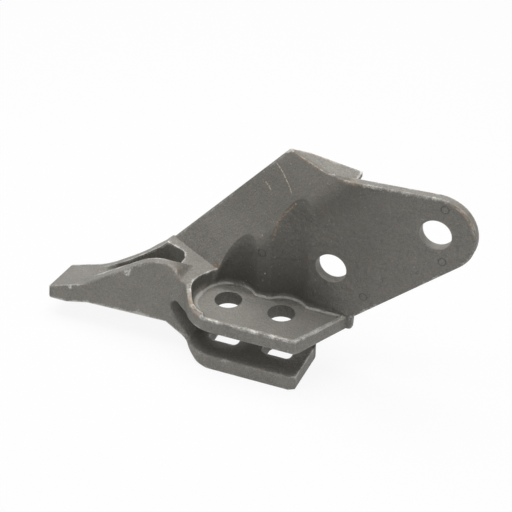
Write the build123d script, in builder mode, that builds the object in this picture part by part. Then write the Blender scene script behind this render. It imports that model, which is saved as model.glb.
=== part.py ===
"""Side tooth for an excavator bucket: one casting that bolts over the corner of the bucket's lip.

Frame, in millimetres: the origin is the centre of the front lip bolt on its seat. +X runs from
the tooth back to the wing plate, +Y points out of the bucket, and +Z is up.
"""
from build123d import *
import math
import os

# Lip bolts and the two ears that straddle the lip
bolt_pitch = 44.45
bolt_hole_r = 10.8
neck_square = 24.5
neck_corner_r = 4.0
upper_ear_t = 11.0
lip_gap = 21.5
lower_ear_t = 13.3
ear_r = 33.0
crease_r = 8.0
upper_ear_front_x = 67.5
upper_ear_end_x = 96.3
ear_corner_cut = 3.0
lower_ear_x = 69.0
lower_ear_back_y = 22.0
lower_ear_corner_r = 10.0

# Bolt seats, sunk inside a low rim and up through the plate
front_seat_r = 22.6
rear_seat_r = 21.0
seat_turn = 212.0
seat_foot_r = 2.2
seat_corner_r = 6.0
pocket_at = (-4.0, -6.5)
pocket_r = 22.6
pocket_foot_r = 6.5
rim_w = 2.6
rim_h = 1.6

# Lip slot: its round end has a relief above, and its floor ramps up to fit the bevel under the lip
slot_front_x = -43.0
slot_relief_l = 12.5
slot_relief_h = 6.2
slot_ramp_x = -21.0

# Wing plate
plate_face_y = 14.5
plate_t = 8.0
plate_top_z = 120.8
wing_hole_r = 12.2
wing_hole_1 = (78.0, 41.9)
wing_hole_2 = (156.6, 92.3)
wing_end_r = 30.5
wing_foot = (97.0, 1.5)

# Blade that guards the front edge of the bucket's side
blade_out_y = 47.0
edge_foot = (-69.3, 14.7)
edge_slope = 47.0
ridge_x = 15.5
ridge_z = 46.0
ridge_r = 14.0
blade_top_z = 118.0
blade_back_x = 91.5
blade_rear_x = 52.0
blade_land = 4.0
blade_taper_x = 46.0
blade_rear_y = 36.5
blade_corner_r = 7.0
edge_r = 1.2

# Rounded edges
heel_r = 3.0
rim_edge_r = 1.5
ear_edge_r = 2.0
wing_edge_r = 1.2
tip_edge_r = 3.0

# Nose and neck
tip_x = -152.0
tip_z = -20.0
tip_t = 9.5
tip_lean = 3.5
side_y = -16.2
side_draft = 7.0
tip_back_y = 18.0
flare_x = -116.0
neck_x = -68.5
neck_z = 14.5
nose_floor_z = -24.0
nose_root_x = -47.0
nose_top = [(-120.0, -10.3), (-104.0, -3.6), (-84.0, 4.2), (-73.5, 9.8)]
nose_flare = [(-98.0, 24.2), (-84.0, 34.8)]
wall_foot = (-123.0, -11.8)
wall_rise = (-74.0, 18.6)
crest = (-57.0, 25.2)
crest_back_y = -3.0
crest_fall = 36.0
crest_back = [(-46.0, 25.1), (-41.6, 23.0), (-38.7, 19.8)]
rim_sweep = [(-19.5, 11.5), (-21.0, 8.0), (-23.0, 5.3), (-26.0, 3.2)]
rim_sweep_y = -16.0

# Trough in the top of the nose
trough_front_x = -126.0
trough_rear_x = -46.0
trough_floor_z = -10.3
trough_wall_t = 6.0
trough_corner_r = 7.0
trough_foot_r = 5.0
trough_far = [(-94.5, 19.0), (-81.0, 29.0), (-68.5, 35.5)]

upper_ear_z = -upper_ear_t
lower_ear_z = upper_ear_z - lip_gap
base_z = lower_ear_z - lower_ear_t
plate_back_y = plate_face_y + plate_t
limb_foot = (-14.0, base_z + 2.5)
nose_heel = (slot_front_x + 1.5, upper_ear_z)
limb_fall = (nose_floor_z - limb_foot[1]) / (limb_foot[0] - nose_root_x)
tall = 400.0


def on_edge(z):
    """Give the X of the blade's leading edge at height z."""
    return edge_foot[0] + (z - edge_foot[1]) / math.tan(math.radians(edge_slope))

def at(shape, axis, low, high):
    """Pick the edges whose middle lies between low and high on the axis."""
    return shape.edges().filter_by_position(axis, low - 0.01, high + 0.01)

def past_end(edge):
    """Tell whether an edge runs along the slanted end of the upper ear, outside the rim."""
    middle = edge.center()
    return middle.X - end_lean * middle.Y > end_reach - rim_w / 2

def wing_outline(edge):
    """Tell whether an edge of the wing is on its outline, and not round a bolt hole."""
    return edge.geom_type != GeomType.CIRCLE or edge.radius > wing_hole_r + 1


# Drafted plane of the nose's front side, and the slope behind its crest
draft = math.radians(side_draft)
fall = math.radians(crest_fall)
side_plane = Plane(
    origin=(0, side_y, tip_z - tip_t), x_dir=(1, 0, 0), z_dir=(0, -math.cos(draft), math.sin(draft))
)
crest_plane = Plane(
    origin=(0, crest_back_y, crest[1] + 0.5), x_dir=(1, 0, 0), z_dir=(0, math.sin(fall), math.cos(fall))
)

# Bevel on the inner side of the blade, down to its leading edge
edge_run = Vector(math.cos(math.radians(edge_slope)), 0, math.sin(math.radians(edge_slope)))
ridge_point = Vector(ridge_x, plate_face_y, ridge_z)
edge_point = Vector(edge_foot[0], blade_out_y, edge_foot[1])
bevel = Plane(origin=edge_point, x_dir=edge_run, z_dir=(ridge_point - edge_point).cross(edge_run))

# Nose and neck: a side outline cut to the plan outline that flares out to the blade
with BuildPart() as nose:
    with BuildSketch(Plane.XZ.offset(-blade_out_y)):
        with BuildLine():
            top = Polyline((tip_x, tip_z), *nose_top, (neck_x, neck_z))
            neck = Polyline(top @ 1, (0, neck_z), (0, upper_ear_z), nose_heel)
            Polyline(
                neck @ 1,
                (nose_root_x, nose_floor_z),
                (tip_x + 36, nose_floor_z - 1.5),
                (tip_x + 17, tip_z - tip_t),
                (tip_x, tip_z - tip_t),
                (tip_x, tip_z),
            )
        make_face()
    extrude(amount=blade_out_y - side_y)
    with BuildSketch(Plane.XY.offset(-tall / 2)):
        with BuildLine():
            tip = Line((tip_x, side_y), (tip_x + tip_lean, tip_back_y))
            straight = Line(tip @ 1, (flare_x, tip_back_y))
            flare = Spline(
                straight @ 1,
                *nose_flare,
                (edge_foot[0], blade_out_y - 1.2),
                tangents=((1, 0), (1, 0.25)),
            )
            Polyline(flare @ 1, (edge_foot[0] + 5, blade_out_y), (0, blade_out_y), (0, side_y), tip @ 0)
        make_face()
    extrude(amount=tall, mode=Mode.INTERSECT)
    split(bisect_by=side_plane, keep=Keep.BOTTOM)

# Front wall of the nose: it rises to a rounded crest, and slopes down to the neck behind the trough
with BuildPart() as wall:
    with BuildSketch(Plane.XZ.offset(-plate_face_y)):
        with BuildLine():
            rise = Line(wall_foot, wall_rise)
            crown = Spline(
                rise @ 1,
                crest,
                *crest_back,
                (-32, neck_z),
                tangents=((1, 0.62), (1, 0)),
            )
            Polyline(
                crown @ 1,
                (-20, neck_z),
                (-20, upper_ear_z),
                nose_heel,
                (nose_root_x, nose_floor_z),
                (wall_foot[0] + 11, nose_floor_z),
                wall_foot,
            )
        make_face()
    extrude(amount=plate_face_y - side_y)
    with BuildSketch(Plane.XY.offset(-tall / 2)):
        with BuildLine():
            saddle_x = trough_rear_x - trough_corner_r - 1
            Polyline(
                (saddle_x, crest_back_y),
                (saddle_x, plate_face_y + 1),
                (wall_foot[0] - 1, plate_face_y + 1),
                (wall_foot[0] - 1, crest_back_y),
                close=True,
            )
        make_face()
    extrude(amount=tall, mode=Mode.SUBTRACT)
    split(bisect_by=side_plane, keep=Keep.BOTTOM)
    split(bisect_by=crest_plane, keep=Keep.BOTTOM)

# Limb that drops from the nose to the lower ear
with BuildPart() as limb:
    with BuildSketch(Plane.XZ.offset(-lower_ear_back_y)):
        with BuildLine():
            Polyline(
                nose_heel,
                (nose_root_x, nose_floor_z),
                limb_foot,
                (0, base_z),
                (0, upper_ear_z),
                close=True,
            )
        make_face()
    extrude(amount=lower_ear_back_y + ear_r)
    split(bisect_by=side_plane, keep=Keep.BOTTOM)

# Round end of both ears, about the front bolt
with BuildPart() as round_end:
    with BuildSketch(Plane.XZ.offset(-plate_face_y)):
        with BuildLine():
            Polyline(
                (-ear_r, neck_z),
                (-ear_r, nose_floor_z + (nose_root_x + ear_r) * limb_fall),
                limb_foot,
                (0, base_z),
                (0, neck_z),
                close=True,
            )
        make_face()
    extrude(amount=plate_face_y + ear_r)
    with BuildSketch(Plane.XY.offset(-tall / 2)):
        Circle(ear_r)
    extrude(amount=tall, mode=Mode.INTERSECT)

# Lower ear, flat under the lip
with BuildPart() as lower_ear:
    with BuildSketch(Plane.XY.offset(base_z)):
        with BuildLine():
            Polyline(
                (0, -ear_r),
                (lower_ear_x - 5, -ear_r),
                (lower_ear_x, -ear_r + 3),
                (lower_ear_x, lower_ear_back_y),
                (0, lower_ear_back_y),
                close=True,
            )
        make_face()
    extrude(amount=lower_ear_t)
    corner = lower_ear.edges().filter_by(Axis.Z).group_by(Axis.X)[-1].sort_by(Axis.Y)[-1]
    fillet(corner, lower_ear_corner_r)

# Upper ear, with the low rim that borders the bolt seats
end_lean = (upper_ear_end_x - upper_ear_front_x - ear_corner_cut) / (plate_back_y + ear_r - ear_corner_cut)
end_reach = upper_ear_front_x + ear_corner_cut + end_lean * (ear_r - ear_corner_cut)
with BuildPart() as upper_ear:
    with BuildSketch(Plane.XY.offset(upper_ear_z)):
        with BuildLine():
            Polyline(
                (0, -ear_r),
                (upper_ear_front_x, -ear_r),
                (upper_ear_front_x + ear_corner_cut, -ear_r + ear_corner_cut),
                (upper_ear_end_x, plate_back_y),
                (0, plate_back_y),
                close=True,
            )
        make_face()
    extrude(amount=upper_ear_t + rim_h)

# Blade: a deep body that runs up the front edge of the bucket's side
with BuildPart() as blade:
    with BuildSketch(Plane.XZ.offset(-blade_out_y)) as blade_side:
        with BuildLine():
            land_z = blade_top_z - blade_land
            bend_z = land_z - (blade_back_x - blade_rear_x) * math.tan(math.radians(edge_slope))
            Polyline(
                edge_foot,
                (on_edge(blade_top_z), blade_top_z),
                (blade_back_x, blade_top_z),
                (blade_back_x, land_z),
                (blade_rear_x, bend_z),
                (blade_rear_x, upper_ear_z),
                (slot_front_x, upper_ear_z),
                (edge_foot[0] + 10, 0),
                close=True,
            )
        make_face()
        fillet(blade_side.vertices().group_by(Axis.Y)[-1].sort_by(Axis.X)[0], blade_corner_r)
    extrude(amount=blade_out_y - plate_face_y)
    with BuildSketch(Plane.XY.offset(-tall / 2)):
        with BuildLine():
            Polyline(
                (blade_taper_x, blade_out_y),
                (blade_back_x, blade_rear_y),
                (blade_back_x + 1, blade_out_y + 1),
                (blade_taper_x, blade_out_y + 1),
                close=True,
            )
        make_face()
    extrude(amount=tall, mode=Mode.SUBTRACT)

# Wing plate, bolted to the inside of the bucket's side
with BuildPart() as plate:
    with BuildSketch(Plane.XZ.offset(-plate_back_y)):
        with BuildLine():
            end = CenterArc(wing_hole_2, wing_end_r, -50, 140)
            Polyline(
                end @ 1,
                (blade_back_x - 40, plate_top_z - 2),
                (0, 0),
                (0, upper_ear_z),
                (upper_ear_end_x, upper_ear_z),
                wing_foot,
                end @ 0,
            )
        make_face()
    extrude(amount=plate_t)

# Guard: blade and plate in one, bevelled to the leading edge over a soft ridge
with BuildPart() as guard:
    add(plate.part)
    add(blade.part)
    split(bisect_by=bevel, keep=Keep.BOTTOM)
    ridge = guard.edges().filter_by(GeomType.LINE).group_by(Axis.Y)[0].sort_by(SortBy.LENGTH)[-1]
    fillet(ridge, ridge_r)
    lead = guard.edges().filter_by(GeomType.LINE).group_by(Axis.Y)[-1].sort_by(SortBy.LENGTH)[-1]
    fillet(lead, edge_r)

# Pocket that widens the front seat towards the nose, with a big round at its foot
with BuildPart() as pocket:
    with BuildSketch():
        with Locations(pocket_at):
            Circle(pocket_r)
    extrude(amount=tall)
    fillet(pocket.edges().group_by(Axis.Z)[0], pocket_foot_r)

# Seats: the space that is sunk in the upper ear and runs up through the plate above each bolt
turn = math.radians(seat_turn)
with BuildPart() as seats:
    with BuildSketch() as seats_plan:
        with BuildLine():
            seat_y = -ear_r + rim_w
            seat_end_x = upper_ear_front_x + ear_corner_cut - rim_w * math.hypot(1, end_lean)
            leave = (front_seat_r * math.cos(turn), front_seat_r * math.sin(turn))
            reach = (leave[1] - seat_y) / -math.cos(turn)
            Polyline(
                (0, 0),
                leave,
                (leave[0] - reach * math.sin(turn), seat_y),
                (upper_ear_front_x - 1, seat_y),
                (seat_end_x + end_lean * (plate_face_y + ear_r - ear_corner_cut), plate_face_y),
                (0, plate_face_y),
                close=True,
            )
        make_face()
        Circle(front_seat_r)
        with Locations((bolt_pitch, 0)):
            Circle(rear_seat_r)
        humps = seats_plan.vertices().filter_by_position(Axis.X, 0, bolt_pitch + rear_seat_r)
        fillet(humps.filter_by_position(Axis.Y, plate_face_y - 0.01, plate_face_y + 0.01), seat_corner_r)
    extrude(amount=tall)
    fillet(seats.edges().group_by(Axis.Z)[0], seat_foot_r)
    add(pocket.part)

# Slot that takes the bucket's lip
with BuildPart() as slot:
    with BuildSketch(Plane.XZ.offset(-blade_out_y - 1)):
        with BuildLine():
            roof = Line((tall, upper_ear_z), (slot_front_x + slot_relief_l, upper_ear_z))
            slot_end = Spline(
                roof @ 1,
                (slot_front_x + slot_relief_l * 0.6, upper_ear_z + slot_relief_h * 0.5),
                (slot_front_x + slot_relief_l * 0.25, upper_ear_z + slot_relief_h),
                (slot_front_x, upper_ear_z + slot_relief_h * 0.3),
                (slot_front_x + 2, upper_ear_z - lip_gap * 0.2),
                (slot_front_x + 6, upper_ear_z - lip_gap * 0.47),
                (slot_front_x + 12, upper_ear_z - lip_gap * 0.76),
                (slot_ramp_x, lower_ear_z),
                tangents=((-1, 0.4), (1, 0)),
            )
            Polyline(slot_end @ 1, (tall, lower_ear_z), (tall, upper_ear_z))
        make_face()
    extrude(amount=blade_out_y + tall)

# Trough in the top of the nose
with BuildPart() as trough:
    with BuildSketch(Plane.XY.offset(trough_floor_z)) as trough_plan:
        with BuildLine():
            back_y = tip_back_y - trough_wall_t
            near = Polyline((trough_front_x, crest_back_y), (trough_front_x, back_y))
            far = Spline(near @ 1, *trough_far, tangents=((1, 0), (1, 0.4)))
            Polyline(far @ 1, (-50.5, 28.5), (trough_rear_x, 20), (trough_rear_x, crest_back_y), near @ 0)
        make_face()
        fillet(trough_plan.vertices().filter_by_position(Axis.X, -80, 0), trough_corner_r)
    extrude(amount=tall / 4)
    fillet(trough.edges().group_by(Axis.Z)[0], trough_foot_r)

# The rim falls from the neck to the seats' rim round the ears' round end
with BuildPart() as rim_fall:
    with BuildSketch(Plane.YZ.offset(-ear_r - 3)):
        with BuildLine():
            fall_end = (-ear_r + rim_w + 0.2, rim_h)
            sweep_down = Spline((rim_sweep_y, neck_z), *rim_sweep, fall_end, tangents=((-1, 0), (-1, 0)))
            Polyline(
                fall_end,
                (-ear_r - 5, rim_h),
                (-ear_r - 5, neck_z + 5),
                (rim_sweep_y, neck_z + 5),
                (rim_sweep_y, neck_z),
            )
        make_face()
    extrude(amount=ear_r + 3)

with BuildPart() as side_tooth:
    add(nose.part)
    add(wall.part)
    add(limb.part)
    add(round_end.part)
    crease = side_tooth.edges().filter_by_position(Axis.X, -ear_r, -20).filter_by_position(Axis.Y, -19, -9)
    fillet(crease.filter_by(GeomType.ELLIPSE), crease_r)
    add(rim_fall.part, mode=Mode.SUBTRACT)
    add(lower_ear.part)
    add(upper_ear.part)
    add(guard.part)
    add(seats.part, mode=Mode.SUBTRACT)
    add(slot.part, mode=Mode.SUBTRACT)
    add(trough.part, mode=Mode.SUBTRACT)
    with Locations((0, 0, rim_h), (bolt_pitch, 0, rim_h)):
        Cylinder(
            bolt_hole_r,
            upper_ear_t + 2 * rim_h,
            align=(Align.CENTER, Align.CENTER, Align.MAX),
            mode=Mode.SUBTRACT,
        )
    with BuildSketch(Plane.XY.offset(base_z)):
        with Locations((0, 0), (bolt_pitch, 0)):
            RectangleRounded(neck_square, neck_square, neck_corner_r)
    extrude(amount=lower_ear_t, mode=Mode.SUBTRACT)
    with BuildSketch(Plane.XZ.offset(-plate_back_y)):
        with Locations(wing_hole_1, wing_hole_2):
            Circle(wing_hole_r)
    extrude(amount=plate_t, mode=Mode.SUBTRACT)

    # Rounded edges: first the wing's lower corner, then round the ears, the nose and the wing
    heel = at(side_tooth, Axis.X, upper_ear_end_x, wing_foot[0])
    fillet(heel.filter_by_position(Axis.Z, upper_ear_z + 1, 0), heel_r)
    rim = at(side_tooth, Axis.Z, rim_h, rim_h)
    fillet(at(rim, Axis.Y, -ear_r, -ear_r) + rim.filter_by(past_end), rim_edge_r)
    under = at(side_tooth, Axis.Z, upper_ear_z, upper_ear_z)
    mouth = at(side_tooth, Axis.X, slot_front_x, slot_front_x + 3) + under
    mouth = mouth.filter_by(GeomType.BSPLINE).filter_by_position(Axis.Y, -ear_r, 0)
    fillet(mouth + at(under, Axis.Y, -ear_r, -ear_r) + under.filter_by(past_end), ear_edge_r)
    base = at(side_tooth, Axis.Z, base_z, base_z)
    base_end = base.filter_by_position(Axis.X, lower_ear_x - lower_ear_corner_r, tall)
    fillet(at(base, Axis.Y, -ear_r, -ear_r) + base_end, ear_edge_r)
    wing = at(side_tooth, Axis.X, wing_foot[0] + 1, tall).filter_by(wing_outline)
    wing_faces = at(wing, Axis.Y, plate_face_y, plate_face_y) + at(wing, Axis.Y, plate_back_y, plate_back_y)
    fillet(wing_faces, wing_edge_r)
    fillet(at(side_tooth, Axis.X, tip_x, tip_x + tip_lean + 0.5), tip_edge_r)

side_tooth.part.label = "side_tooth"
os.makedirs("parts", exist_ok=True)
export_step(side_tooth.part, "parts/side_tooth.step")
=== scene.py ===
# %% [markdown]
# # A cast side tooth, dressed for its portrait
# The real part is one steel casting, so the whole shape already comes from the imported model.
# What is left for Blender is what the eye reads as "steel": the grain of the sand mould, dull
# grey scale, bright worn edges and a little rust, together with painted shade in hollows and
# painted highlights on edges. The model is loaded as a fixed frame, and its box is kept, because
# dressing a part must never change its size.

# %% load the casting
import bpy
import numpy as np
from mathutils import Matrix, Vector


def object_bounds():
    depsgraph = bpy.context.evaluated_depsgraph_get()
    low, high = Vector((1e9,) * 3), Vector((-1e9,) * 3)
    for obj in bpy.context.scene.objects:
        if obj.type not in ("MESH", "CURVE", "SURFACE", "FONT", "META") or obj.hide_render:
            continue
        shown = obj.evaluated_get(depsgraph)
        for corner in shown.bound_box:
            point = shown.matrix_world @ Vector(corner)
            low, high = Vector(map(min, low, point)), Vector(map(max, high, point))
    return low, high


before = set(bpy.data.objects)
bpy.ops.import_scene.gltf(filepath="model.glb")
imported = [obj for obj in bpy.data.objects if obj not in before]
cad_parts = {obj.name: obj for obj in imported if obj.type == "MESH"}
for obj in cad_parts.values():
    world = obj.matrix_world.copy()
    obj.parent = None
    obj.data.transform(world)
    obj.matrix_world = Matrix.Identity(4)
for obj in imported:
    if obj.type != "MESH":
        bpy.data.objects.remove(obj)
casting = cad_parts["side_tooth"]
cad_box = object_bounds()
print("casting box in metres:", [[round(v, 4) for v in corner] for corner in cad_box])

# %% [markdown]
# ## The camera
# The photograph looks down on the tooth from in front and a little from the right, with a long
# lens. A camera could be aimed with a Track To constraint. Writing its three axes as the columns
# of a matrix is plainer, and it also keeps the slight roll of the picture.

# %% camera
FRAME_PX = 512
FOCAL_PX = 1662.5
SENSOR_MM = 36.0

right = Vector((0.92314, 0.38420, 0.01511))
up = Vector((-0.22460, 0.50693, 0.83224))
back = Vector((0.31208, -0.77165, 0.55424))
eye = Vector((0.4156, -0.9719, 0.7450))

lens = bpy.data.cameras.new("portrait_lens")
lens.sensor_width = SENSOR_MM
lens.lens = FOCAL_PX * SENSOR_MM / FRAME_PX
camera = bpy.data.objects.new("portrait_camera", lens)
camera.matrix_world = Matrix((right, up, back)).transposed().to_4x4()
camera.location = eye
bpy.context.collection.objects.link(camera)
bpy.context.scene.camera = camera
bpy.context.scene.view_settings.view_transform = "Standard"
print("lens in mm:", round(lens.lens, 1))

# %% [markdown]
# ## Shader maths as sentences
# A material is a chain of nodes. Wired by hand in Python it is hard to read, so one small class
# wraps an output socket: `1 - mask` adds a Math node, and `Wire.node` adds any other kind. Numbers
# go through Math nodes, while colours go through Mix, since a Math node would turn them grey.

# %% a wrapped socket
class Wire:
    """An output socket with arithmetic. Wire.tree is the node tree that is being drawn."""

    tree = None

    def __init__(self, socket):
        self.socket = socket

    @staticmethod
    def node(kind, settings=None, values=None, out=0):
        """Add a node: its settings first, then values or wires on its sockets by name or number."""
        made = Wire.tree.nodes.new(kind)
        for name, value in (settings or {}).items():
            setattr(made, name, value)
        for name, value in (values or {}).items():
            if isinstance(value, Wire):
                Wire.tree.links.new(value.socket, made.inputs[name])
            else:
                made.inputs[name].default_value = value
        return Wire(made.outputs[out]) if made.outputs else None

    def math(self, operation, *others, clamp=False):
        """A Math node on this number and others."""
        terms = dict(enumerate((self,) + others))
        return Wire.node("ShaderNodeMath", {"operation": operation, "use_clamp": clamp}, terms)

    def vector(self, operation, other, out=0):
        """A Vector Math node on this vector and another."""
        return Wire.node("ShaderNodeVectorMath", {"operation": operation}, {0: self, 1: other}, out)

    def __add__(self, other):
        return self.math("ADD", other)

    def __mul__(self, other):
        return self.math("MULTIPLY", other)

    def __sub__(self, other):
        return self.math("SUBTRACT", other)

    def __rsub__(self, other):
        return Wire.node("ShaderNodeMath", {"operation": "SUBTRACT"}, {0: other, 1: self})

    __radd__ = __add__
    __rmul__ = __mul__


print("a wire can be added, subtracted and multiplied")

# %% [markdown]
# ## Masks and mixes
# Every finish below is a mask, a number from 0 to 1 over the surface, and a colour that it lets
# through. A hard threshold would leave jagged borders, so all masks are smooth steps. A zone on
# the casting is the product of several steps, as a box is what lies inside all of its sides.

# %% steps, zones, mixes and greys
def ramp(value, low, high):
    """0 where value is at low, 1 where it is at high, and a smooth S between them."""
    settings = {"interpolation_type": "SMOOTHSTEP"}
    return Wire.node("ShaderNodeMapRange", settings, {"Value": value, "From Min": low, "From Max": high})


def zone(*steps):
    """The product of smooth steps, each given as a value, where it is 0 and where it is 1."""
    total = ramp(*steps[0])
    for step in steps[1:]:
        total = total * ramp(*step)
    return total


def most(masks):
    """The largest of several masks at each place."""
    total = masks[0]
    for mask in masks[1:]:
        total = total.math("MAXIMUM", mask)
    return total


def blend(factor, one, two):
    """Go from colour one to colour two as factor goes from 0 to 1."""
    return Wire.node("ShaderNodeMix", {"data_type": "RGBA"}, {0: factor, 6: one, 7: two}, out=2)


def grey(level, warm=0.0):
    """A linear grey as four numbers: warm adds that share of red and takes twice it from blue."""
    return (level * (1 + warm), level, level * (1 - 2 * warm), 1.0)


print("a warm middle grey:", [round(part, 3) for part in grey(0.2, 0.05)])

# %% [markdown]
# ## Where on the casting
# Every pattern below reads Object coordinates, so it sticks to the steel and looks the same from
# any side. They come in metres. Scaled by 1000 they are millimetres, which is how a fitter would
# describe a scratch. The origin is the front lip bolt on its seat: X runs back along the bucket's
# side, Y out of the bucket and Z up.

# %% coordinates in millimetres
def start_material(name):
    """Make an empty node material and give back the material with the place on the object in mm."""
    made = bpy.data.materials.new(name)
    made.use_nodes = True
    made.node_tree.nodes.clear()
    Wire.tree = made.node_tree
    metres = Wire.node("ShaderNodeTexCoord", out="Object")
    return made, Wire.node("ShaderNodeVectorMath", {"operation": "SCALE"}, {0: metres, "Scale": 1000.0})


def axes_of(vector):
    """The X, the Y and the Z of a vector, each as a wire."""
    first = Wire.node("ShaderNodeSeparateXYZ", None, {0: vector})
    return [Wire(output) for output in first.socket.node.outputs]


def from_axis(centre, across):
    """Distance (mm) from a straight axis through centre; across lists its two other coordinates."""
    flat = Wire.node("ShaderNodeCombineXYZ", None, dict(enumerate(across)))
    return flat.vector("DISTANCE", (*centre, 0.0), out="Value")


skin, place = start_material("cast_steel")
x, y, z = axes_of(place)
print("material:", skin.name)

# %% [markdown]
# ## Sizes of the casting
# Some finishes follow a feature of the casting, such as a bolt hole or the face of the wing. A
# painter would mask them with tape. Here the casting's own sizes do that, and a mask that follows
# a feature is written from its size.

# %% sizes in millimetres
BOLT_HOLES = [(0.0, 0.0), (44.45, 0.0)]
BOLT_RADIUS = 10.8
POCKET_AT = (-4.0, -6.5)
POCKET_RADIUS = 22.6
NECK_Z = 14.5
TIP_X = -152.0
LOWER_EAR_Z = -32.5
WING_HOLES = [(78.0, 41.9), (156.6, 92.3)]
WING_RADIUS = 12.2
WING_FACE_Y = 14.5
WING_BACK_Y = 22.5
BLADE_OUT_Y = 47.0
BLADE_BACK_X = 91.5
CAP_Z = 118.0
BEVEL_NORMAL = (-0.46, -0.78, 0.43)
BEVEL_OFFSET = 1.5
print("bolt holes:", len(BOLT_HOLES), "wing holes:", len(WING_HOLES))

# %% [markdown]
# ## The grain of the mould
# Sand leaves steel with a fine, even roughness, like an orange skin seen close up. It has shallow
# dents where the mould gave way, small pores where gas came out, and a few thin wrinkles where the
# skin folded as the steel ran in. Modelling that would take millions of faces. A Bump node gives
# the same shading from a few sizes of noise, and the same noise makes the colour uneven. A wrinkle
# is the thin line along which a large noise crosses its middle value.

# %% grain, dents, pores and wrinkles
FINE, GRAIN, DENT, PATCH, CLOUD = 0.8, 1.7, 4.8, 9.0, 18.0
PORE, FLECK, WRINKLE = 1.7, 1.3, 15.0


def noise(size, detail=3.0, rough=0.55):
    """Cloudy noise around 0.5 whose blobs are about size millimetres across."""
    values = {"Vector": place, "Scale": 1.0 / size, "Detail": detail, "Roughness": rough}
    return Wire.node("ShaderNodeTexNoise", None, values)


fine = noise(FINE, 2.0)
grain = noise(GRAIN, 4.0, 0.62)
dents = noise(DENT, 3.0)
patchy = noise(PATCH, 2.0)
clouds = noise(CLOUD, 4.0)
pores = ramp(noise(PORE, 1.0), 0.69, 0.76)
flecks = ramp(noise(FLECK, 1.0), 0.73, 0.77)
from_middle = (noise(WRINKLE, 2.0) - 0.5).math("ABSOLUTE")
wrinkles = zone((from_middle, 0.016, 0.003), (grain, 0.40, 0.50), (clouds, 0.50, 0.60))
tone = 0.42 * fine + 0.42 * grain + 0.16 * clouds
print("noise sizes in mm:", FINE, GRAIN, DENT, PATCH, CLOUD, "and wrinkles about", WRINKLE, "apart")

# %% [markdown]
# ## Worn edges and painted edge highlights
# Handling rubs the scale off corners that stick out. They could be found with Pointiness, but that
# needs a dense mesh. An Ambient Occlusion node that looks into the solid works on any mesh: close
# to an edge it soon comes out again on the other side. Wear stays away from the mouths of the bolt
# holes, from the walls round the bolt heads and from the leading edge, as in the photograph.

# The same bright edges also stand in for the glints that light puts on edges, so this mark is part wear
# and part painted highlight.
# %% edges that stick out
EDGE_REACH = 3.4


def open_room(reach, inside):
    """1 on open ground, less where other faces lie within reach (mm), on the side looked at."""
    settings = {"samples": 8, "inside": inside, "only_local": True}
    return Wire.node("ShaderNodeAmbientOcclusion", settings, {"Distance": reach / 1000.0}, out="AO")


def past_mouth(centre, across, radius):
    """0 at a hole's mouth and 1 from 3.5 mm outside it: a bolt head shields that edge."""
    return ramp(from_axis(centre, across), radius + 1.0, radius + 3.5)


edge_band = 1 - open_room(EDGE_REACH, True)
off_walls = most([
    ramp(y, WING_FACE_Y - 5.5, WING_FACE_Y - 7.5),
    ramp(x, BLADE_BACK_X - 11.5, BLADE_BACK_X + 0.5),
    ramp(z, CAP_Z - 23.0, CAP_Z - 14.0),
    ramp(x, -12.0, -18.0),
])
off_lead = most([ramp(y, BLADE_OUT_Y - 1.0, BLADE_OUT_Y - 5.0), ramp(z, CAP_Z - 6.0, CAP_Z - 2.0)])
edges_marked = off_walls * off_lead
for centre in BOLT_HOLES:
    edges_marked = edges_marked * past_mouth(centre, (x, y), BOLT_RADIUS)
for centre in WING_HOLES:
    edges_marked = edges_marked * past_mouth(centre, (x, z), WING_RADIUS)
uneven = 0.75 * (grain - 0.5) + 0.9 * (patchy - 0.5)
# Wear and painted highlight: bright edges, partly rubbed steel and partly painted glint.
wear_and_highlight = ramp(edge_band + uneven, 0.22, 0.52) * edges_marked
print("edges are worn up to", EDGE_REACH, "mm in")

# %% [markdown]
# ## Dust and painted shade in corners
# Corners that face inwards, such as the foot of the trough, get a little dust and painted shade. The
# same node finds them when it looks outwards, because there the other faces take away a part of the
# open sky.

# %% corners that face inwards
CORNER_REACH = 16.0

corner_band = 1 - open_room(CORNER_REACH, False)
# Painted shade in corners that face inwards, with a little dust.
dust_and_corner_shade = ramp(corner_band + 0.2 * (grain - 0.5), 0.25, 0.85)
print("dust reaches", CORNER_REACH, "mm out of a corner")

# %% [markdown]
# ## The wing, and painted shade at its foot and along the ridge
# The wing is darker than the nose, and darker still towards the blade and higher up. The foot of the
# two walls that curve round the bolt heads gets painted shade, darkest at the bottom. The bevel
# beside them is paler, and gets painted shade only along its ridge, on the bevel and on the wing
# below it. The bevel's plane leans in all three directions, so a dot product measures how far a
# place lies from that plane. It is 0 on the bevel and falls below 0 into the solid.

# %% zones of the wing and the bevel
near_wing = (y, WING_FACE_Y - 6.5, WING_FACE_Y - 1.0)

from_bevel = place.vector("DOT_PRODUCT", BEVEL_NORMAL, out="Value") - BEVEL_OFFSET
off_bevel = (from_bevel, 1.2, -5.0)
front_of_wing = most([
    ramp(x, BLADE_BACK_X + 0.5, BLADE_BACK_X - 7.5),
    ramp(y, WING_FACE_Y + 1.1, WING_FACE_Y + 0.4),
])
wing_zone = zone(off_bevel, near_wing, (y, WING_BACK_Y + 1.5, WING_BACK_Y)) * front_of_wing
upper_wing = wing_zone * zone((x, 165.0, 100.0), (z, 15.0, 60.0))
# Painted shade at the foot of the walls round the bolt heads, darkest at the bottom.
wall_foot_shade = zone(off_bevel, (y, 3.0, 13.0), (z, 80.0, 5.0), (z, 0.5, 5.0), (x, 90.0, 60.0))
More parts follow.
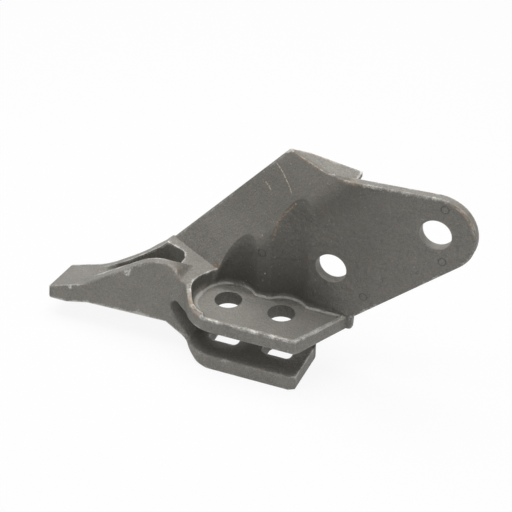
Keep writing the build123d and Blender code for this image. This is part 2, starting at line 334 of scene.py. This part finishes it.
# Painted shade along the bevel's ridge, on the bevel and on the wing below it.
ridge_shade = zone((from_bevel, -4.0, -1.0), (y, 58.0, 38.0), near_wing, (z, 35.0, 75.0))
under_ridge_shade = zone((from_bevel, -0.5, -4.0), (from_bevel, -20.0, -5.0), (z, 60.0, 85.0)) * wing_zone
bevel_zone = zone((from_bevel, -3.0, -0.5), near_wing, (z, 18.0, 30.0), (z, CAP_Z - 8.0, CAP_Z - 26.0))
print("the bevel's plane lies", BEVEL_OFFSET, "mm from the origin")

# %% [markdown]
# ## Seats, bores and tip
# Smaller places are painted apart. The rounded foot of the seats gets a painted highlight, a pale
# line, and the floor by the rear bolt is darker. The slot's floor, the wall of the front pocket and
# the blunt end of the tip get painted shade, and the wing's bores get painted light, a paler grey.
# Each could be a material slot with its own faces, but the borders are soft on the casting, so
# these are zones too.

# %% zones of the seats, the slot, the bores and the tip
# Painted highlight: a pale line along the rounded foot of the seats.
seat_foot_highlight = zone(
    (z, 0.04, 0.35),
    (z, 2.0, 1.0),
    (y, 22.0, 20.0),
    (y, -24.0, -18.0),
    (x, BLADE_BACK_X + 0.5, BLADE_BACK_X - 7.5),
    (x, -29.0, -26.0),
)
rear_seat = zone((z, -0.5, -0.2), (z, 1.0, 0.3), (x, 12.0, 34.0))
# Painted shade on the slot's floor, under the upper ear.
slot_floor_shade = zone((z, LOWER_EAR_Z - 0.8, LOWER_EAR_Z - 0.3), (z, LOWER_EAR_Z + 0.9, LOWER_EAR_Z + 0.3))
# Painted shade on the blunt, rounded end of the tip.
tip_end_shade = ramp(x, TIP_X + 4.5, TIP_X + 1.5)
from_pocket = from_axis(POCKET_AT, (x, y))
# Painted shade on the wall of the front pocket.
pocket_wall_shade = zone(
    (from_pocket, POCKET_RADIUS + 2.4, POCKET_RADIUS + 0.4),
    (z, 0.6, 5.0),
    (z, NECK_Z + 1.0, NECK_Z - 2.0),
)
wing_axes = [from_axis(centre, (x, z)) for centre in WING_HOLES]
# Painted light: the wing's bores are made a paler grey.
bores = most([ramp(away, WING_RADIUS + 0.6, WING_RADIUS + 0.2) for away in wing_axes])
print("bores toned:", len(wing_axes))

# %% [markdown]
# ## Marks of handling
# A few marks are part of this tooth's story: light scratches across the bevel, a rubbed line where
# the bevel ends at the wall round a bolt head, pale chips, specks of rust, edges tanned by rust, and
# faint rings pressed into the wing. A scratch is the distance to a line between two places, a chip
# is the distance to one place, and a ring is the distance to a circle round it. A decal image could
# do the same, but it would need a file.

# %% how a mark is drawn
def stroke(start, stop, width):
    """1 on the line from start to stop (mm), fading to 0 at width from it.

    With a = place - start and r = stop - start, the nearest point is t r, t = a.r / r.r held
    between 0 and 1, and the distance is |a - t r|.
    """
    run = Vector(stop) - Vector(start)
    away = place.vector("SUBTRACT", start)
    along = away.vector("DOT_PRODUCT", run / run.length_squared, out="Value").math("ADD", 0.0, clamp=True)
    nearest = Wire.node("ShaderNodeVectorMath", {"operation": "SCALE"}, {0: run, "Scale": along})
    return ramp(away.vector("DISTANCE", nearest, out="Value"), width, 0.4 * width)


def trail(points, width):
    """One stroke after another through the given places."""
    return most([stroke(one, two, width) for one, two in zip(points, points[1:])])


def spot(centre, radius):
    """1 at centre, fading to 0 at radius (mm)."""
    return ramp(place.vector("DISTANCE", centre, out="Value"), radius, 0.35 * radius)


def pressed_ring(centre, radius, width):
    """1 on the circle of that radius round centre, fading to 0 at width from it."""
    off_circle = (place.vector("DISTANCE", centre, out="Value") - radius).math("ABSOLUTE")
    return ramp(off_circle, width, 0.0)


print("marks can be strokes, trails, spots and rings")

# %% [markdown]
# ## Where the marks are
# Each mark is listed by its place on the casting, in millimetres, and a chip or a rust spot also by
# its radius. Noise then breaks it up, because a mark with a clean outline looks painted on.

# %% scratches, chips, rust and rings
LONG_SCRATCH = [(20.8, 43.5, 104.8), (28.1, 37.6, 101.8), (37.6, 28.4, 95.2), (45.6, 21.0, 87.2)]
SHORT_SCRATCH = [(14.0, 38.8, 88.9), (17.5, 36.0, 87.9), (20.3, 33.6, 86.2)]
WALL_EDGE = [(44.8, 20.6, 86.1), (38.2, 20.0, 77.9), (32.9, 17.5, 69.9), (30.0, 15.4, 54.2)]
CHIPS = [
    ((20.8, 16.7, 55.5), 0.9),
    ((24.4, 14.5, 22.4), 0.9),
    ((52.5, 19.4, 91.2), 0.9),
    ((-81.7, -11.4, 9.7), 3.4),
    ((-131.7, -14.5, -15.7), 2.0),
    ((-79.5, -11.6, 12.5), 2.4),
]
RUST_SPOTS = [
    ((-17.3, 17.4, 16.2), 5.0),
    ((-15.2, -29.3, 0.2), 4.5),
    ((-40.0, -5.0, 20.5), 4.0),
    ((59.8, 14.9, 46.1), 2.6),
    ((68.7, 14.5, 92.4), 3.0),
]
RUST_EDGES = [
    ((-21.7, -24.1, 4.4), 14.0),
    ((179.0, 18.0, 113.0), 24.0),
    ((88.0, 14.5, 119.0), 16.0),
    ((50.0, 30.0, 118.0), 30.0),
    ((-40.0, -6.0, 20.0), 12.0),
]
RING_CENTRES = [(161.9, 14.5, 115.2), (163.2, 14.5, 70.8), (104.6, 14.5, 23.0), (21.6, 14.5, 40.6)]
RING_RADIUS = 3.0

broken = ramp(grain, 0.40, 0.55)
scratched = most([trail(LONG_SCRATCH, 0.7), trail(SHORT_SCRATCH, 0.8)]) * broken
rubbed = trail(WALL_EDGE, 1.3) * broken
chipped = most([spot(*chip) for chip in CHIPS]) * ramp(grain, 0.41, 0.50)
rusty = most([spot(*speck) for speck in RUST_SPOTS]) * ramp(noise(2.2, 3.0, 0.7), 0.47, 0.58)
edge_rust = zone((edge_band, 0.08, 0.30), (noise(3.0, 3.0, 0.7), 0.38, 0.55))
tanned = most([spot(*stretch) for stretch in RUST_EDGES]) * edge_rust
ringed = most([pressed_ring(centre, RING_RADIUS, 0.6) for centre in RING_CENTRES])
print("marks:", len(CHIPS), "chips,", len(RUST_SPOTS), "rust spots,", len(RING_CENTRES), "rings")

# %% [markdown]
# ## Colour
# The steel is a grey that is a little warm. Two greys are blended by the noise. Then each layer of
# the list goes on: first the darker tones, the painted shade, the dust and the painted light on the
# bores, then the bare edges with their painted highlights, and last the rust and the fresh marks,
# which lie on top.

# %% layers of colour
steel_dark = grey(0.145, 0.05)
steel_pale = grey(0.298, 0.05)
# The two darker greys serve real scale and dust and also the painted shade.
dark_scale_and_shade = grey(0.085, 0.08)
deep_shade_and_dust = grey(0.030, 0.08)
bore_light_grey = grey(0.38, 0.05)
bare_steel_and_highlight = grey(0.74, 0.03)
fresh_scratch = grey(0.60, 0.12)
pale_chip = grey(0.75, 0.03)
rust = (0.30, 0.185, 0.105, 1.0)
edge_tan = (0.44, 0.31, 0.20, 1.0)
rubbed_tan = (0.42, 0.30, 0.19, 1.0)

wing_depth = 0.33 - 0.17 * ramp(x, 85.0, 130.0)
edge_shine = 0.40 + 0.26 * ramp(z, -24.0, -12.0)
# Painted highlight and wear: edges, partly worn and partly painted glints, the painted highlight on the
# seats' foot, and real pale flecks, all made pale grey.
bare_and_highlight = most([edge_shine * wear_and_highlight, 0.35 * seat_foot_highlight, 0.40 * flecks])
layers = [
    (wing_depth, wing_zone, dark_scale_and_shade),
    (0.54, wall_foot_shade, deep_shade_and_dust),
    (0.55, pocket_wall_shade, dark_scale_and_shade),
    (0.50, ridge_shade, dark_scale_and_shade),
    (0.40, under_ridge_shade, dark_scale_and_shade),
    (0.22, upper_wing, dark_scale_and_shade),
    (0.06 + 0.16 * wing_zone, wrinkles, dark_scale_and_shade),
    (0.20, bevel_zone, dark_scale_and_shade),
    (0.20, rear_seat, dark_scale_and_shade),
    (0.33, slot_floor_shade, dark_scale_and_shade),
    (0.45, tip_end_shade, dark_scale_and_shade),
    (0.45, bores, bore_light_grey),
    (0.22, dust_and_corner_shade, deep_shade_and_dust),
    (0.60, ringed + pores, dark_scale_and_shade),
    (1.00, bare_and_highlight, bare_steel_and_highlight),
    (0.65, rusty, rust),
    (0.60, tanned, edge_tan),
    (0.55, rubbed, rubbed_tan),
    (0.60, scratched, fresh_scratch),
    (0.80, chipped, pale_chip),
]
colour = blend(ramp(tone, 0.30, 0.70), steel_dark, steel_pale)
for strength, mask, paint in layers:
    colour = blend(strength * mask, colour, paint)
print("layers of colour:", len(layers))

# %% [markdown]
# ## Finish
# Scale is dull, while bare steel is smoother and more of a metal, so worn edges catch a glint. The
# noises and the marks are summed to one relief, which a Bump node turns into shading. Real
# displacement would show at the outline too, but it would need a dense mesh and move the faces.

# %% roughness, relief and the shader
RELIEF_STEP = 0.0006

roughness = 0.55 - 0.22 * wear_and_highlight + 0.12 * (grain - 0.5) + 0.2 * rusty
metallic = 0.15 + 0.45 * wear_and_highlight
dent_depth = 1.3 + 4.2 * wing_zone * (1 - wall_foot_shade)
wrinkle_depth = 0.2 + 0.6 * wing_zone
relief = 0.6 * fine + 1.1 * grain + dent_depth * dents + clouds
relief = relief - 0.9 * pores - wrinkle_depth * wrinkles - 1.5 * ringed - 0.3 * scratched
bump = Wire.node("ShaderNodeBump", None, {"Height": relief, "Strength": 1.0, "Distance": RELIEF_STEP})
steel = {"Base Color": colour, "Roughness": roughness, "Metallic": metallic, "Normal": bump}
surface = Wire.node("ShaderNodeBsdfPrincipled", None, steel)
Wire.node("ShaderNodeOutputMaterial", None, {"Surface": surface})
for slot in casting.material_slots:
    slot.material = skin
print("slots dressed:", len(casting.material_slots), "nodes:", len(skin.node_tree.nodes))

# %% [markdown]
# ## Floor
# The tooth lies on its lower ear on a plain white sheet, which is one big square. A sheet lit up
# to pure white would need lamps that bleach the steel. So the sheet is nearly white by itself for
# rays from the camera, straight or mirrored, and the rest of its brightness is real light, which
# keeps the soft shadow. Further out it is all white, so no horizon is seen.

# %% floor
FLOOR_HALF = 6.0
SELF_WHITE = 0.90
SHEET_GREY = 0.90
FADE_START = 450.0
FADE_END = 1500.0
WHITE = grey(1.0)


def background_rays():
    """1 for rays that show the background: seen by the camera, mirrored, or through clear stuff."""
    rays = ("Is Camera Ray", "Is Glossy Ray", "Is Transmission Ray")
    return most([Wire.node("ShaderNodeLightPath", out=name) for name in rays])


floor_z = cad_box[0][2]
ring = np.array([(-1, -1), (1, -1), (1, 1), (-1, 1)]) * FLOOR_HALF
corners = np.column_stack((ring, np.full(4, floor_z)))
sheet = bpy.data.meshes.new("floor")
sheet.from_pydata(corners.tolist(), [], [(0, 1, 2, 3)])
floor = bpy.data.objects.new("floor", sheet)
bpy.context.collection.objects.link(floor)

paper, spread = start_material("white_sheet")
lit = Wire.node("ShaderNodeBsdfDiffuse", None, {"Color": grey(SHEET_GREY)})
glow = Wire.node("ShaderNodeEmission", None, {"Color": WHITE, "Strength": 1.0})
far_off = ramp(spread.vector("DISTANCE", (0.0, 0.0, 0.0), out="Value"), FADE_START, FADE_END)
self_lit = background_rays() * (SELF_WHITE + (1 - SELF_WHITE) * far_off)
sheet_look = Wire.node("ShaderNodeMixShader", None, {0: self_lit, 1: lit, 2: glow})
Wire.node("ShaderNodeOutputMaterial", None, {"Surface": sheet_look})
sheet.materials.append(paper)
print("floor at z in metres:", round(floor_z, 4))

# %% [markdown]
# ## Lamps
# The photograph has wide, soft light from above and from both sides: faces that look up are
# clearly paler than upright ones, and no shadow has a hard edge. One sun would be too hard, and a
# sky alone too flat. Three big area lamps give soft light that still has a direction, and their
# strength is plain, so that a colour renders about as it is written.

# %% lamps
LAMP_SIZE = 1.2
MIDDLE = Vector((0.0, 0.0, 0.04))
LAMPS = [
    ("top_lamp", (-0.10, 0.15, 1.35), 20.0),
    ("right_lamp", (1.3, -0.9, 0.8), 3.2),
    ("left_lamp", (-1.2, -1.1, 0.7), 1.5),
]


def area_lamp(name, stand, watts):
    """A square lamp that stands at the given place (m) and looks at the middle of the tooth."""
    data = bpy.data.lights.new(name, "AREA")
    data.size = LAMP_SIZE
    data.energy = watts
    lamp = bpy.data.objects.new(name, data)
    lamp.location = stand
    lamp.rotation_euler = (MIDDLE - Vector(stand)).to_track_quat("-Z", "Y").to_euler()
    bpy.context.collection.objects.link(lamp)


for name, stand, watts in LAMPS:
    area_lamp(name, stand, watts)

# %% [markdown]
# ## World
# A little light from all round fills the shadows, as the walls of a studio do. A brighter world
# would fill them too much, so only the rays that show the background see it white.

# %% world
WORLD_FILL = 0.16

world = bpy.data.worlds.new("studio")
world.use_nodes = True
bpy.context.scene.world = world
world.node_tree.nodes.clear()
Wire.tree = world.node_tree
strength = WORLD_FILL + (1 - WORLD_FILL) * background_rays()
sky = Wire.node("ShaderNodeBackground", None, {"Color": WHITE, "Strength": strength})
Wire.node("ShaderNodeOutputWorld", None, {"Surface": sky})
print("world fill:", WORLD_FILL)
